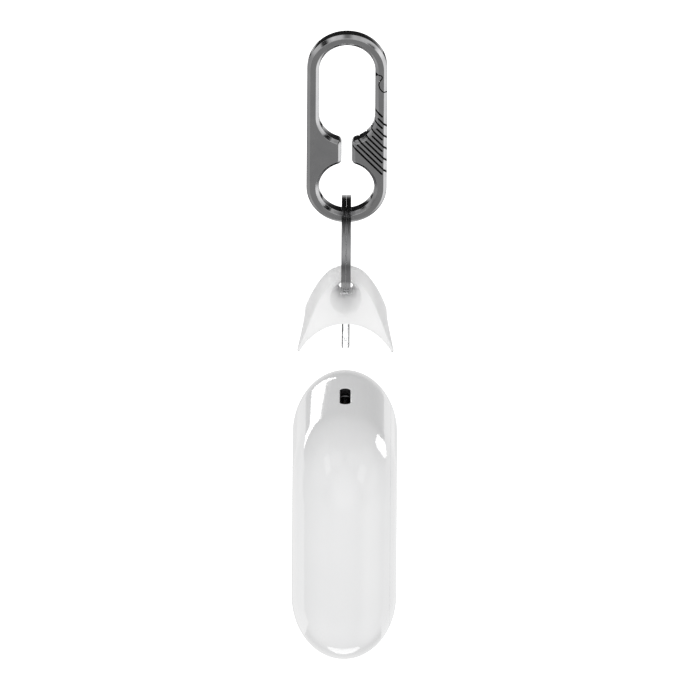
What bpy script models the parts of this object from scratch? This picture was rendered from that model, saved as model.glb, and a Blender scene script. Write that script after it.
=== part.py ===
"""Pocket apex locator with a silicone hood, a split ring and a one-piece steel carabiner.

The assembly hangs: the carabiner's loop at the top, the ring in its eye, the hood on the ring,
and the measuring unit below the hood, drawn off its plug.  Metres, +Z up.  The origin is the
point at the inner top of the carabiner's loop, which carries the whole.
"""
import math

import bmesh
import bpy
from mathutils import Matrix, Vector

MM = 0.001

# Gap left between neighbouring pieces.
GAP = 0.3 * MM

# Carabiner: a flat plate with a loop above, an eye below and a narrow neck between them.
PLATE_THICK = 3.6 * MM
PLATE_CHAMFER = 0.8 * MM
PLATE_RADIUS = 9.6 * MM
LOOP_RADIUS = 6.7 * MM
LOOP_LENGTH = 12.6 * MM
EYE_RADIUS = 6.65 * MM
EYE_DROP = 31.7 * MM
NECK_HALF_WIDTH = 1.25 * MM
NOSE_RADIUS = 1.3 * MM
LOOP_TOP_Z = -LOOP_RADIUS
LOOP_END_Z = LOOP_TOP_Z - LOOP_LENGTH
EYE_Z = LOOP_TOP_Z - EYE_DROP

# Gate: the right arm, cut free at its top and carried by a row of slanting slots.
KERF = 0.4 * MM
SLOT_ANGLE = math.radians(-46.9)
SLOT_FIRST = -6.8 * MM
SLOT_PITCH = 1.06 * MM
SLOT_COUNT = 11
SLOT_OUTER_X = 8.4 * MM
SLOT_BRIDGE = 1.2 * MM
GATE_PIVOT = Vector((7.0 * MM, 0.0, -25.0 * MM))

# Split ring: two turns of flat wire.
RING_OUTER = 11.85 * MM
RING_INNER = 9.85 * MM
RING_WIRE = 1.05 * MM
RING_PITCH = 1.15 * MM
RING_JOG = math.radians(34.0)
RING_HANG_GAP = 0.45 * MM
RING_Z = EYE_Z - EYE_RADIUS + RING_HANG_GAP - RING_INNER
RING_PIVOT = Vector((0.0, 0.0, EYE_Z - (EYE_RADIUS + PLATE_RADIUS) / 2))

# Measuring unit: a pebble, thin along X, with elliptical edges all round and flat faces.
HALF_THICK = 12.55 * MM
HALF_DEPTH = 26.95 * MM
HALF_HEIGHT = 32.2 * MM
CORNER_RADIUS = 18.4 * MM
EDGE_DEPTH = 15.3 * MM
WALL = 1.8 * MM
SEAM_ANGLE = math.radians(60.0)
COVER_ANGLE = math.radians(61.5)
DEVICE_Z = -127.6 * MM
DEVICE = Vector((0.0, 0.0, DEVICE_Z))
UNDOCK = 22.5 * MM

# Hood: a saddle that fits the unit's top edge.
HOOD_ARCH_Z = DEVICE_Z + HALF_HEIGHT - EDGE_DEPTH + UNDOCK
HOOD_ARCH_HALF = HALF_THICK + GAP
HOOD_ARCH_RISE = EDGE_DEPTH + GAP
HOOD_CEILING_Z = HOOD_ARCH_Z + HOOD_ARCH_RISE
HOOD_TIP_X = 9.3 * MM
HOOD_TIP_FLARE = 1.7 * MM
HOOD_TIP_POWER = 1.33
HOOD_TIP_LAP = 0.5 * MM
HOOD_BASE_RISE = 7.0 * MM
HOOD_CREST = 20.3 * MM
HOOD_CREST_HALF = 10.1 * MM
HOOD_CREST_POWER = 3.1
HOOD_SHEET = 1.9 * MM
HOOD_FACE = 19.4 * MM
HOOD_FACE_HALF = 11.5 * MM
HOOD_FACE_POWER = 2.25
HOOD_DEPTH = 6.8 * MM
HOOD_LEAN = 0.31
HOOD_HOLE_RADIUS = 1.8 * MM
HOOD_HOLE_DROP = 0.2 * MM
HOOD_FUNNEL_RADIUS = 4.0 * MM
HOOD_AXIS = Vector((0.0, 0.0, RING_Z - (RING_OUTER + RING_INNER) / 2))

# Socket and the plug that closes it: an open sleeve that slips over the socket's tongue.
PORT_HALF_Y = 4.17 * MM
PORT_HALF_X = 1.28 * MM
PORT_WALL = 0.35 * MM
PORT_TOP = 29.9 * MM
PORT_DEPTH = 7.2 * MM
TONGUE_HALF_Y = 3.1 * MM
TONGUE_HALF_X = 0.3 * MM
TONGUE_TOP = 29.5 * MM
PLUG_HALF_Y = 3.8 * MM
PLUG_HALF_X = 0.95 * MM
PLUG_WALL = 0.45 * MM
PLUG_REACH = 8.2 * MM
PLUG_ROOT = 2.5 * MM

# Display window in the front cover, and the board behind it.
LENS_HALF_Y = 10.6 * MM
LENS_HALF_Z = 13.6 * MM
LENS_CORNER = 2.6 * MM
LENS_Z = 2.6 * MM
BOARD_FRONT = -1.93 * MM
BOARD_THICK = 1.0 * MM
BOARD_HALF_Y = 22.3 * MM
BOARD_HALF_Z = 27.4 * MM
BOARD_CORNER = 14.0 * MM
SCREW_SPOTS = [(16.5, 17.0), (-16.5, 17.0), (15.0, -19.0), (-15.0, -19.0)]

# Power button on the front cover, pressed along -X.
BUTTON_Z = -20.4 * MM
BUTTON_RADIUS = 1.3 * MM
BUTTON_HOLE = 1.6 * MM

CORNER_STEPS = 8


# ---------------------------------------------------------------- scene helpers

def clear_scene():
    for obj in list(bpy.data.objects):
        bpy.data.objects.remove(obj, do_unlink=True)


def material(name, colour, roughness, metallic=0.0, alpha=1.0):
    mat = bpy.data.materials.new(name)
    mat.use_nodes = True
    shader = mat.node_tree.nodes["Principled BSDF"]
    shader.inputs["Base Color"].default_value = (*colour, 1.0)
    shader.inputs["Roughness"].default_value = roughness
    shader.inputs["Metallic"].default_value = metallic
    shader.inputs["Alpha"].default_value = alpha
    return mat


def world_location(obj):
    place = Vector()
    while obj:
        place += obj.location
        obj = obj.parent
    return place


def group(name, origin, parent=None):
    """An empty on a joint's axis, which carries the pieces of one moving body."""
    empty = bpy.data.objects.new(name, None)
    bpy.context.collection.objects.link(empty)
    empty.parent = parent
    empty.location = Vector(origin) - world_location(parent)
    return empty


def solid(name, bm, mat, parent=None, origin=None):
    """Turn a bmesh in world coordinates into an object with its own origin."""
    home = world_location(parent) if origin is None else Vector(origin)
    bmesh.ops.recalc_face_normals(bm, faces=bm.faces)
    bmesh.ops.translate(bm, verts=bm.verts, vec=-home)
    mesh = bpy.data.meshes.new(name)
    bm.to_mesh(mesh)
    bm.free()
    mesh.shade_smooth()
    mesh.set_sharp_from_angle(angle=math.radians(35))
    mesh.materials.append(mat)
    obj = bpy.data.objects.new(name, mesh)
    bpy.context.collection.objects.link(obj)
    obj.parent = parent
    obj.location = home - world_location(parent)
    return obj


def cutter(name, bm):
    obj = solid("cutter_" + name, bm, MATERIALS["cutter"])
    obj.hide_render = True
    obj.display_type = 'WIRE'
    return obj


def boolean(obj, tool, operation='DIFFERENCE'):
    mod = obj.modifiers.new(tool.name, 'BOOLEAN')
    mod.operation = operation
    mod.solver = 'EXACT'
    mod.object = tool


# ---------------------------------------------------------------- mesh helpers

def loft(loops, ring=False, bm=None):
    """Skin a list of loops with equal point counts; a ring joins the last loop to the first."""
    bm = bm or bmesh.new()
    rows = [[bm.verts.new(point) for point in loop] for loop in loops]
    count = len(rows[0])
    pairs = list(zip(rows, rows[1:] + rows[:1])) if ring else list(zip(rows, rows[1:]))
    for low, high in pairs:
        for i in range(count):
            j = (i + 1) % count
            bm.faces.new((low[i], low[j], high[j], high[i]))
    if not ring:
        bm.faces.new(rows[0])
        bm.faces.new(rows[-1])
    return bm


def arc(centre, radius, start, end, steps):
    """Points along an arc in degrees, both ends included, as (x, z) pairs."""
    angles = [math.radians(start + (end - start) * i / steps) for i in range(steps + 1)]
    return [(centre[0] + radius * math.cos(a), centre[1] + radius * math.sin(a)) for a in angles]


def rounded(half_y, half_z, radius, centre_y=0.0, centre_z=0.0, steps=CORNER_STEPS):
    """A rounded rectangle as (y, z) pairs."""
    points = []
    for side_y, side_z, start in ((1, 1, 0), (-1, 1, 90), (-1, -1, 180), (1, -1, 270)):
        corner = (centre_y + side_y * (half_y - radius), centre_z + side_z * (half_z - radius))
        points += arc(corner, radius, start, start + 90, steps)
    return points


def at_x(x, outline):
    return [Vector((x, y, z)) for y, z in outline]


def at_y(y, outline):
    return [Vector((x, y, z)) for x, z in outline]


def prism_y(outline, half):
    """A plate with the given (x, z) outline, thick along Y."""
    return loft([at_y(-half, outline), at_y(half, outline)])


def block(low, high, chamfer):
    """A box with chamfered edges between two corners."""
    bm = bmesh.new()
    bmesh.ops.create_cube(bm, size=1.0)
    size = Vector(high) - Vector(low)
    middle = (Vector(high) + Vector(low)) / 2
    bmesh.ops.scale(bm, verts=bm.verts, vec=size)
    bmesh.ops.translate(bm, verts=bm.verts, vec=middle)
    bmesh.ops.bevel(bm, geom=bm.edges[:], offset=chamfer, segments=1, affect='EDGES')
    return bm


def turned(profile, origin, axis, steps=24):
    """A solid of revolution: (distance along axis, radius) pairs, closed on the axis."""
    turn = Vector((0, 0, 1)).rotation_difference(Vector(axis)).to_matrix().to_4x4()
    place = Matrix.Translation(origin) @ turn
    loops = []
    for along, radius in profile:
        loops.append([place @ Vector((x, y, along)) for x, y in arc((0, 0), radius, 0, 360, steps)[:-1]])
    return loft(loops)


# ---------------------------------------------------------------- carabiner

def plate_outline(grow=0.0):
    radius = PLATE_RADIUS + grow
    return arc((0, LOOP_TOP_Z), radius, 0, 180, 28) + arc((0, EYE_Z), radius, 180, 360, 28)


def opening_outline(grow=0.0):
    """Loop, neck and eye as one opening; both pairs of noses are rounded."""
    nose = NOSE_RADIUS - grow
    nose_x = NECK_HALF_WIDTH + NOSE_RADIUS
    upper_z = LOOP_END_Z - math.sqrt((LOOP_RADIUS + NOSE_RADIUS) ** 2 - nose_x ** 2)
    lower_z = EYE_Z + math.sqrt((EYE_RADIUS + NOSE_RADIUS) ** 2 - nose_x ** 2)
    loop_turn = math.degrees(math.atan2(LOOP_END_Z - upper_z, nose_x))
    eye_turn = math.degrees(math.atan2(lower_z - EYE_Z, nose_x))
    right = arc((0, LOOP_TOP_Z), LOOP_RADIUS + grow, 90, 0, 12)
    right += arc((0, LOOP_END_Z), LOOP_RADIUS + grow, 0, -loop_turn, 10)
    right += arc((nose_x, upper_z), nose, 180 - loop_turn, 180, 4)
    right += arc((nose_x, lower_z), nose, 180, 180 + eye_turn, 4)
    right += arc((0, EYE_Z), EYE_RADIUS + grow, eye_turn, -90, 16)
    left = [(-x, z) for x, z in reversed(right[1:-1])]
    return right + left


def carabiner_plate():
    """The whole plate, chamfered outside; its opening is cut by a waisted cutter."""
    face = PLATE_THICK / 2
    edge = face - PLATE_CHAMFER
    levels = ((-face, -PLATE_CHAMFER), (-edge, 0.0), (edge, 0.0), (face, -PLATE_CHAMFER))
    return loft([at_y(y, plate_outline(grow)) for y, grow in levels])


def carabiner_opening():
    beyond = 0.2 * MM
    face = PLATE_THICK / 2 + beyond
    edge = PLATE_THICK / 2 - PLATE_CHAMFER
    flare = PLATE_CHAMFER + beyond
    levels = ((-face, flare), (-edge, 0.0), (edge, 0.0), (face, flare))
    return loft([at_y(y, opening_outline(grow)) for y, grow in levels])


def slot_offset(index):
    """Distance of a slot's line from the origin, measured along the slots' normal."""
    return SLOT_FIRST - SLOT_PITCH * index


def slot_point(offset, x):
    """The point at a given x on a slot's line."""
    along = (math.cos(SLOT_ANGLE), math.sin(SLOT_ANGLE))
    normal = (-along[1], along[0])
    reach = (x - offset * normal[0]) / along[0]
    return (x, offset * normal[1] + reach * along[1])


def slot_inner_x(offset):
    """Where a slot's line leaves the loop and enters the plate."""
    along = (math.cos(SLOT_ANGLE), math.sin(SLOT_ANGLE))
    normal = (-along[1], along[0])
    away = offset - LOOP_END_Z * normal[1]
    reach = LOOP_END_Z * along[1] + math.sqrt(LOOP_RADIUS ** 2 - away ** 2)
    x = offset * normal[0] + reach * along[0]
    return max(x, NECK_HALF_WIDTH + NOSE_RADIUS / 3)


def gate_joint():
    """The interlocking line between the frame's nose and the gate's hooked tip."""
    hook = [(7.36, -7.65), (8.13, -7.83), (8.41, -8.25), (8.3, -8.75), (7.74, -9.45), (7.55, -10.32)]
    heel = [(7.84, -11.41), (8.32, -12.05), (8.8, -12.33), (9.6, -12.5), (11.0, -12.55)]
    return [(x * MM, z * MM) for x, z in hook + heel]


def offset_path(path, distance):
    """A polyline moved sideways, to its left for a positive distance."""
    moved = []
    for i, point in enumerate(path):
        before = Vector(path[max(i - 1, 0)])
        after = Vector(path[min(i + 1, len(path) - 1)])
        run = (after - before).normalized()
        moved.append((point[0] - run.y * distance, point[1] + run.x * distance))
    return moved


def slot_line(offset, x_values):
    return [slot_point(offset, x * MM) for x in x_values]


def frame_relief():
    """Everything between the frame's nose and the last slot, which is gate and spring."""
    notch = [(5.5 * MM, -6.25 * MM)]
    joint = offset_path(gate_joint(), GAP / 2)
    foot = slot_line(slot_offset(SLOT_COUNT - 1) - KERF / 2, (11.0, 0.0))
    inside = [(0.0, -22.0 * MM), (5.5 * MM, -17.0 * MM)]
    return prism_y(notch + joint + foot + inside, PLATE_THICK)


def gate_region():
    notch = [(5.5 * MM, -9.25 * MM)]
    joint = offset_path(gate_joint(), -GAP / 2)
    foot = slot_line(slot_offset(0) + KERF / 2, (11.0, 5.5))
    return prism_y(notch + joint + foot, PLATE_THICK)


def spring_region():
    head = slot_line(slot_offset(0) - KERF / 2, (5.0, 11.0))
    foot = slot_line(slot_offset(SLOT_COUNT - 1) + KERF / 2, (11.0, 0.0))
    inside = [(0.0, -22.0 * MM)]
    return prism_y(head + foot + inside, PLATE_THICK)


def spring_slots():
    """Slots from the loop and from the outer edge by turns, so that the metal zigzags."""
    bm = bmesh.new()
    for index in range(1, SLOT_COUNT - 1):
        offset = slot_offset(index)
        inner = slot_inner_x(offset)
        if index % 2:
            run = (inner + SLOT_BRIDGE * math.cos(SLOT_ANGLE), 11.0 * MM)
        else:
            run = (inner - 2.0 * MM, SLOT_OUTER_X)
        ends = [slot_point(offset + side * KERF / 2, x) for side, x in
                ((1, run[0]), (1, run[1]), (-1, run[1]), (-1, run[0]))]
        loft([at_y(-PLATE_THICK, ends), at_y(PLATE_THICK, ends)], bm=bm)
    return bm


def make_carabiner(root, gate):
    opening = cutter("opening", carabiner_opening())
    frame = solid("carabiner_frame", carabiner_plate(), MATERIALS["steel"], root)
    boolean(frame, opening)
    boolean(frame, cutter("frame_relief", frame_relief()))
    arm = solid("gate_arm", carabiner_plate(), MATERIALS["steel"], gate)
    boolean(arm, opening)
    boolean(arm, cutter("gate_region", gate_region()), 'INTERSECT')
    spring = solid("gate_spring", carabiner_plate(), MATERIALS["steel"], root)
    boolean(spring, opening)
    boolean(spring, cutter("spring_region", spring_region()), 'INTERSECT')
    boolean(spring, cutter("spring_slots", spring_slots()))


# ---------------------------------------------------------------- split ring

def ring_shift(turn):
    """Sideways place of the wire: flat turns, joined by one short jog."""
    jog = (turn - 2 * math.pi) / RING_JOG + 0.5
    jog = min(max(jog, 0.0), 1.0)
    return RING_PITCH * (jog * jog * (3 - 2 * jog) - 0.5)


def make_split_ring(parent):
    steps = 92
    first = RING_JOG / 2 + math.radians(4)
    last = 4 * math.pi - first
    loops = []
    for i in range(steps + 1):
        turn = first + (last - first) * i / steps
        shift = ring_shift(turn)
        across = ((RING_INNER, -1), (RING_OUTER, -1), (RING_OUTER, 1), (RING_INNER, 1))
        loops.append([Vector((shift + side * RING_WIRE / 2,
                              radius * math.cos(turn),
                              RING_Z + radius * math.sin(turn))) for radius, side in across])
    solid("split_ring", loft(loops), MATERIALS["ring_steel"], parent)


# ---------------------------------------------------------------- hood

def arch_height(x):
    """Underside of the hood: the unit's top edge, one gap larger."""
    return HOOD_ARCH_Z + HOOD_ARCH_RISE * math.sqrt(1 - (x / HOOD_ARCH_HALF) ** 2)


def crest_height(x):
    """Top of the hood in the middle of its depth."""
    drop = (abs(x) / HOOD_CREST_HALF) ** HOOD_CREST_POWER
    return HOOD_ARCH_Z + HOOD_BASE_RISE + HOOD_CREST * (1 - drop)


def face_height(x):
    """Top of the hood on its front and back faces."""
    drop = (abs(x) / HOOD_FACE_HALF) ** HOOD_FACE_POWER
    return HOOD_ARCH_Z + HOOD_BASE_RISE + HOOD_FACE * (1 - drop)


def top_height(x, share):
    """From crest to face by the share of the depth, and never thinner than a sheet."""
    height = crest_height(x) + (face_height(x) - crest_height(x)) * share ** 2
    return max(height, arch_height(x) + HOOD_SHEET)


def hood_section(share):
    """Cross-section at a share of the depth: -1 on the front face, 1 on the back face."""
    tip_x = HOOD_TIP_X + HOOD_TIP_FLARE * ((1 - share) / 2) ** HOOD_TIP_POWER
    tip_z = arch_height(tip_x)
    under = [tip_x * math.sin(math.radians(a)) for a in range(-90, 91, 10)]
    top = [(tip_x + HOOD_TIP_LAP) * math.sin(math.radians(a)) for a in range(90, -91, -9)]
    tip = [(tip_x + 0.35 * MM, tip_z + 0.15 * MM), (tip_x + 0.6 * MM, tip_z + 0.5 * MM)]
    section = [(x, arch_height(x)) for x in under] + tip
    section += [(x, top_height(x, share)) for x in top]
    section += [(-x, z) for x, z in reversed(tip)]
    return section


def hood_depth(z):
    """Half depth along Y: both faces lean inwards as they rise."""
    return HOOD_DEPTH - HOOD_LEAN * max(z - HOOD_CEILING_Z, 0.0)


def make_hood(parent):
    loops = []
    for i in range(-5, 6):
        share = math.sin(math.radians(18 * i))
        loops.append([Vector((x, share * hood_depth(z), z)) for x, z in hood_section(share)])
    hood = solid("silicone_hood", loft(loops), MATERIALS["silicone"], parent)
    hole = HOOD_AXIS - Vector((0, 0, HOOD_HOLE_DROP))
    throat = 1.6 * MM
    face = 5.2 * MM
    outside = 8.0 * MM
    flare = HOOD_FUNNEL_RADIUS + (outside - face) * 0.5
    profile = [(-outside, flare), (-face, HOOD_FUNNEL_RADIUS), (-throat, HOOD_HOLE_RADIUS),
               (throat, HOOD_HOLE_RADIUS), (face, HOOD_FUNNEL_RADIUS), (outside, flare)]
    boolean(hood, cutter("hood_hole", turned(profile, hole, (0, 1, 0), 28)))
    half_x = PLUG_HALF_X + GAP
    half_y = PLUG_HALF_Y + GAP
    pocket = rounded(half_x, half_y, half_x * 0.95, steps=5)
    top = HOOD_CEILING_Z + PLUG_ROOT + GAP
    below = HOOD_CEILING_Z - 1.0 * MM
    loops = [[Vector((x, y, z)) for x, y in pocket] for z in (below, top)]
    boolean(hood, cutter("plug_pocket", loft(loops)))


def make_plug(parent):
    outer = rounded(PLUG_HALF_X, PLUG_HALF_Y, PLUG_HALF_X * 0.95, steps=5)
    tip = rounded(PLUG_HALF_X - PLUG_WALL / 3, PLUG_HALF_Y - PLUG_WALL / 3, PLUG_HALF_X * 0.6, steps=5)
    half_x = PLUG_HALF_X - PLUG_WALL
    half_y = PLUG_HALF_Y - PLUG_WALL
    inner = rounded(half_x, half_y, half_x * 0.9, steps=5)
    bottom = HOOD_CEILING_Z - PLUG_REACH
    levels = [(outer, HOOD_CEILING_Z + PLUG_ROOT), (outer, bottom + 0.4 * MM), (tip, bottom),
              (inner, bottom), (inner, HOOD_CEILING_Z - 0.2 * MM)]
    loops = [[Vector((x, y, z)) for x, y in outline] for outline, z in levels]
    solid("hood_plug", loft(loops), MATERIALS["clear_plastic"], parent)


# ---------------------------------------------------------------- unit: casing

def pebble_loop(angle, wall=0.0):
    """One ring of the pebble's skin: 90 degrees is the rim of a flat face, 0 the widest edge."""
    depth = EDGE_DEPTH - wall
    inset = wall + depth * (1 - math.cos(angle))
    outline = rounded(HALF_DEPTH - inset, HALF_HEIGHT - inset, CORNER_RADIUS - inset, centre_z=DEVICE_Z)
    return at_x((HALF_THICK - wall) * math.sin(angle), outline)


def inset_loop(x, inset):
    return at_x(x, rounded(HALF_DEPTH - inset, HALF_HEIGHT - inset, CORNER_RADIUS - inset,
                           centre_z=DEVICE_Z))


def window_loop(x, grow):
    return at_x(x, rounded(LENS_HALF_Y + grow, LENS_HALF_Z + grow, LENS_CORNER + grow,
                           centre_z=DEVICE_Z + LENS_Z))


def device_point(x, y, z):
    return Vector((x * MM, y * MM, DEVICE_Z + z * MM))


def boss_cylinder(spot, start, end, radius, steps=16):
    profile = [(0.0, radius), (end - start, radius)]
    return turned(profile, device_point(0, *spot) + Vector((start, 0, 0)), (1, 0, 0), steps)


def make_rear_housing(parent):
    rings = 10
    low = math.radians(-90)
    angles = [low + (SEAM_ANGLE - low) * i / rings for i in range(rings + 1)]
    loops = [pebble_loop(a) for a in angles]
    loops += [pebble_loop(a, WALL) for a in reversed(angles)]
    housing = solid("rear_housing", loft(loops), MATERIALS["white_gloss"], parent, DEVICE)
    for index, spot in enumerate(SCREW_SPOTS):
        seat = BOARD_FRONT - BOARD_THICK - GAP
        boss = boss_cylinder(spot, -10.6 * MM, seat, 2.0 * MM)
        boolean(housing, cutter(f"boss_{index}", boss), 'UNION')
        hole = boss_cylinder(spot, -8.4 * MM, 1.0 * MM, 1.1 * MM)
        boolean(housing, cutter(f"boss_hole_{index}", hole))
    port = rounded(PORT_HALF_X, PORT_HALF_Y, PORT_HALF_X * 0.95, steps=5)
    levels = (DEVICE_Z + 27.0 * MM, DEVICE_Z + 34.0 * MM)
    boolean(housing, cutter("port", loft([[Vector((x, y, z)) for x, y in port] for z in levels])))


def make_front_cover(parent):
    angles = [COVER_ANGLE + (math.radians(90) - COVER_ANGLE) * i / 4 for i in range(5)]
    ledge = 11.25 * MM
    inside = HALF_THICK - WALL
    lip_foot = 8.4 * MM
    lip_outer = 8.9 * MM
    lip_inner = 9.6 * MM
    loops = [pebble_loop(a) for a in angles]
    loops += [window_loop(HALF_THICK, GAP), window_loop(ledge, GAP), window_loop(ledge, -1.2 * MM)]
    loops += [window_loop(inside, -1.2 * MM), pebble_loop(math.radians(90), WALL)]
    loops += [pebble_loop(math.radians(74), WALL), inset_loop(9.7 * MM, lip_inner)]
    loops += [inset_loop(lip_foot, lip_inner), inset_loop(lip_foot, lip_outer)]
    loops += [inset_loop(9.5 * MM, lip_outer)]
    cover = solid("front_cover", loft(loops, ring=True), MATERIALS["white_gloss"], parent, DEVICE)
    start = DEVICE + Vector((8.0 * MM, 0, BUTTON_Z))
    hole = turned([(0.0, BUTTON_HOLE), (6.0 * MM, BUTTON_HOLE)], start, (1, 0, 0))
    boolean(cover, cutter("button_hole", hole))


# ---------------------------------------------------------------- unit: display

def window_plate(name, low, high, grow, mat, parent):
    solid(name, loft([window_loop(low, grow), window_loop(high, grow)]), MATERIALS[mat], parent, DEVICE)


def make_display(parent):
    window_plate("display_lens", 11.55 * MM, 12.5 * MM, 0.0, "lens", parent)
    gasket = [window_loop(x, grow) for x, grow in ((9.75 * MM, 0.8 * MM), (10.45 * MM, 0.8 * MM),
                                                   (10.45 * MM, -1.6 * MM), (9.75 * MM, -1.6 * MM))]
    solid("display_gasket", loft(gasket, ring=True), MATERIALS["foam"], parent, DEVICE)
    window_plate("display_panel", 7.55 * MM, 9.45 * MM, -0.4 * MM, "panel", parent)
    tray = [window_loop(x, grow) for x, grow in ((6.2 * MM, 1.0 * MM), (9.2 * MM, 1.0 * MM),
                                                 (9.2 * MM, 0.0), (7.2 * MM, 0.0))]
    solid("display_tray", loft(tray), MATERIALS["grey_plastic"], parent, DEVICE)


def make_display_flex(parent):
    """A ribbon that runs from the panel's foot, round behind it, to a connector on the board."""
    thick = 0.2 * MM
    bend = 1.5 * MM
    foot_z = LENS_Z - LENS_HALF_Z - 1.0 * MM - GAP
    far_x = 7.4 * MM
    near_x = -0.1 * MM
    low_z = foot_z - 2.2 * MM
    outside = [(far_x, foot_z)]
    outside += arc((far_x - bend, low_z + bend), bend, 0, -90, 5)
    outside += arc((near_x + bend, low_z + bend), bend, 270, 180, 5)
    outside += [(near_x, foot_z + 1.0 * MM)]
    inside = [(near_x + thick, foot_z + 1.0 * MM)]
    inside += arc((near_x + bend, low_z + bend), bend - thick, 180, 270, 5)
    inside += arc((far_x - bend, low_z + bend), bend - thick, -90, 0, 5)
    inside += [(far_x - thick, foot_z)]
    outline = [(x, DEVICE_Z + z) for x, z in outside + inside]
    solid("display_flex", prism_y(outline, 4.5 * MM), MATERIALS["flex"], parent, DEVICE)


# ---------------------------------------------------------------- unit: board

def device_block(name, low, high, mat, parent, chamfer=0.15):
    bm = block(device_point(*low), device_point(*high), chamfer * MM)
    return solid(name, bm, MATERIALS[mat], parent, DEVICE)


def make_board(parent):
    back = BOARD_FRONT - BOARD_THICK
    outline = rounded(BOARD_HALF_Y, BOARD_HALF_Z, BOARD_CORNER, centre_z=DEVICE_Z)
    board = solid("main_board", loft([at_x(back, outline), at_x(BOARD_FRONT, outline)]),
                  MATERIALS["board"], parent, DEVICE)
    for index, spot in enumerate(SCREW_SPOTS):
        hole = boss_cylinder(spot, -4.0 * MM, 0.0, 1.1 * MM)
        boolean(board, cutter(f"board_hole_{index}", hole))
    device_block("shield_can", (-1.6, 3.5, 2.0), (0.3, 14.5, 13.0), "tin", parent, 0.3)
    device_block("measuring_chip", (-1.6, -11.0, 5.0), (-0.7, -5.0, 11.0), "chip", parent)
    device_block("charger_chip", (-1.6, -10.0, 16.0), (-0.8, -6.0, 20.0), "chip", parent)
    device_block("display_connector", (-1.6, -5.5, -12.6), (-0.4, 5.5, -9.6), "grey_plastic", parent)
    device_block("battery_connector", (-6.2, -3.0, 19.3), (-3.3, 3.0, 23.0), "cream_plastic", parent, 0.2)
    device_block("tact_switch", (-1.6, -2.6, -23.0), (1.1, 2.6, -17.8), "grey_plastic", parent, 0.2)
    profile = [(-1.6, 4.4), (-1.3, 4.6), (1.5, 4.6), (1.8, 4.3)]
    buzzer = turned([(a * MM, r * MM) for a, r in profile], device_point(0, 13.0, -8.0), (1, 0, 0), 28)
    solid("buzzer", buzzer, MATERIALS["chip"], parent, DEVICE)


def make_screws(parent):
    """Pan heads with a cross recess, one into each boss of the rear housing."""
    for index, spot in enumerate(SCREW_SPOTS):
        profile = [(-6.2, 0.35), (-5.9, 0.8), (0.0, 0.8), (0.0001, 1.7), (0.55, 1.7), (0.9, 1.3)]
        base = device_point(0, *spot) + Vector((BOARD_FRONT + GAP, 0, 0))
        screw = turned([(a * MM, r * MM) for a, r in profile], base, (1, 0, 0), 16)
        obj = solid(f"board_screw_{index + 1}", screw, MATERIALS["screw_steel"], parent, base)
        for arm, half in enumerate(((0.2, 0.9), (0.9, 0.2))):
            low = base + Vector((0.35, -half[0], -half[1])) * MM
            high = base + Vector((2.0, half[0], half[1])) * MM
            bm = block(low, high, 0.02 * MM)
            boolean(obj, cutter(f"cross_{index}_{arm}", bm))


def make_battery(parent):
    device_block("battery", (-9.5, -13.0, -18.0), (-4.4, 13.0, 17.0), "battery_wrap", parent, 0.8)
    device_block("battery_pad", (-10.4, -9.5, -14.0), (-9.8, 9.5, 13.0), "foam", parent, 0.1)


def make_socket(parent):
    top = DEVICE_Z + PORT_TOP
    bottom = top - PORT_DEPTH
    floor = bottom + 0.5 * MM
    inner = rounded(PORT_HALF_X, PORT_HALF_Y, PORT_HALF_X * 0.95, steps=5)
    half_x = PORT_HALF_X + PORT_WALL
    outer = rounded(half_x, PORT_HALF_Y + PORT_WALL, half_x * 0.95, steps=5)
    levels = [(outer, bottom), (outer, top), (inner, top), (inner, floor)]
    shell = loft([[Vector((x, y, z)) for x, y in outline] for outline, z in levels])
    solid("socket_shell", shell, MATERIALS["socket_steel"], parent, DEVICE)
    root = rounded(PORT_HALF_X - GAP, TONGUE_HALF_Y + 0.5 * MM, 0.4 * MM, steps=2)
    blade = rounded(TONGUE_HALF_X, TONGUE_HALF_Y, 0.25 * MM, steps=2)
    step = floor + GAP + 0.4 * MM
    levels = [(root, floor + GAP), (root, step), (blade, step), (blade, DEVICE_Z + TONGUE_TOP)]
    tongue = loft([[Vector((x, y, z)) for x, y in outline] for outline, z in levels])
    solid("socket_tongue", tongue, MATERIALS["black_plastic"], parent, DEVICE)


# ---------------------------------------------------------------- unit: power button

def make_button(button, plunger):
    centre = DEVICE + Vector((0, 0, BUTTON_Z))
    profile = [(3.0, 0.8), (9.2, 0.8), (9.2001, 1.8), (9.8, 1.8)]
    profile += [(9.8001, 1.3), (12.2, 1.3), (12.42, 1.05)]
    cap = turned([(a * MM, r * MM) for a, r in profile], centre, (1, 0, 0), 24)
    solid("power_button", cap, MATERIALS["grey_button"], button)
    profile = [(1.65, 1.1), (2.55, 1.1), (2.7, 0.95)]
    stub = turned([(a * MM, r * MM) for a, r in profile], centre, (1, 0, 0), 20)
    solid("switch_plunger", stub, MATERIALS["black_plastic"], plunger)


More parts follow.
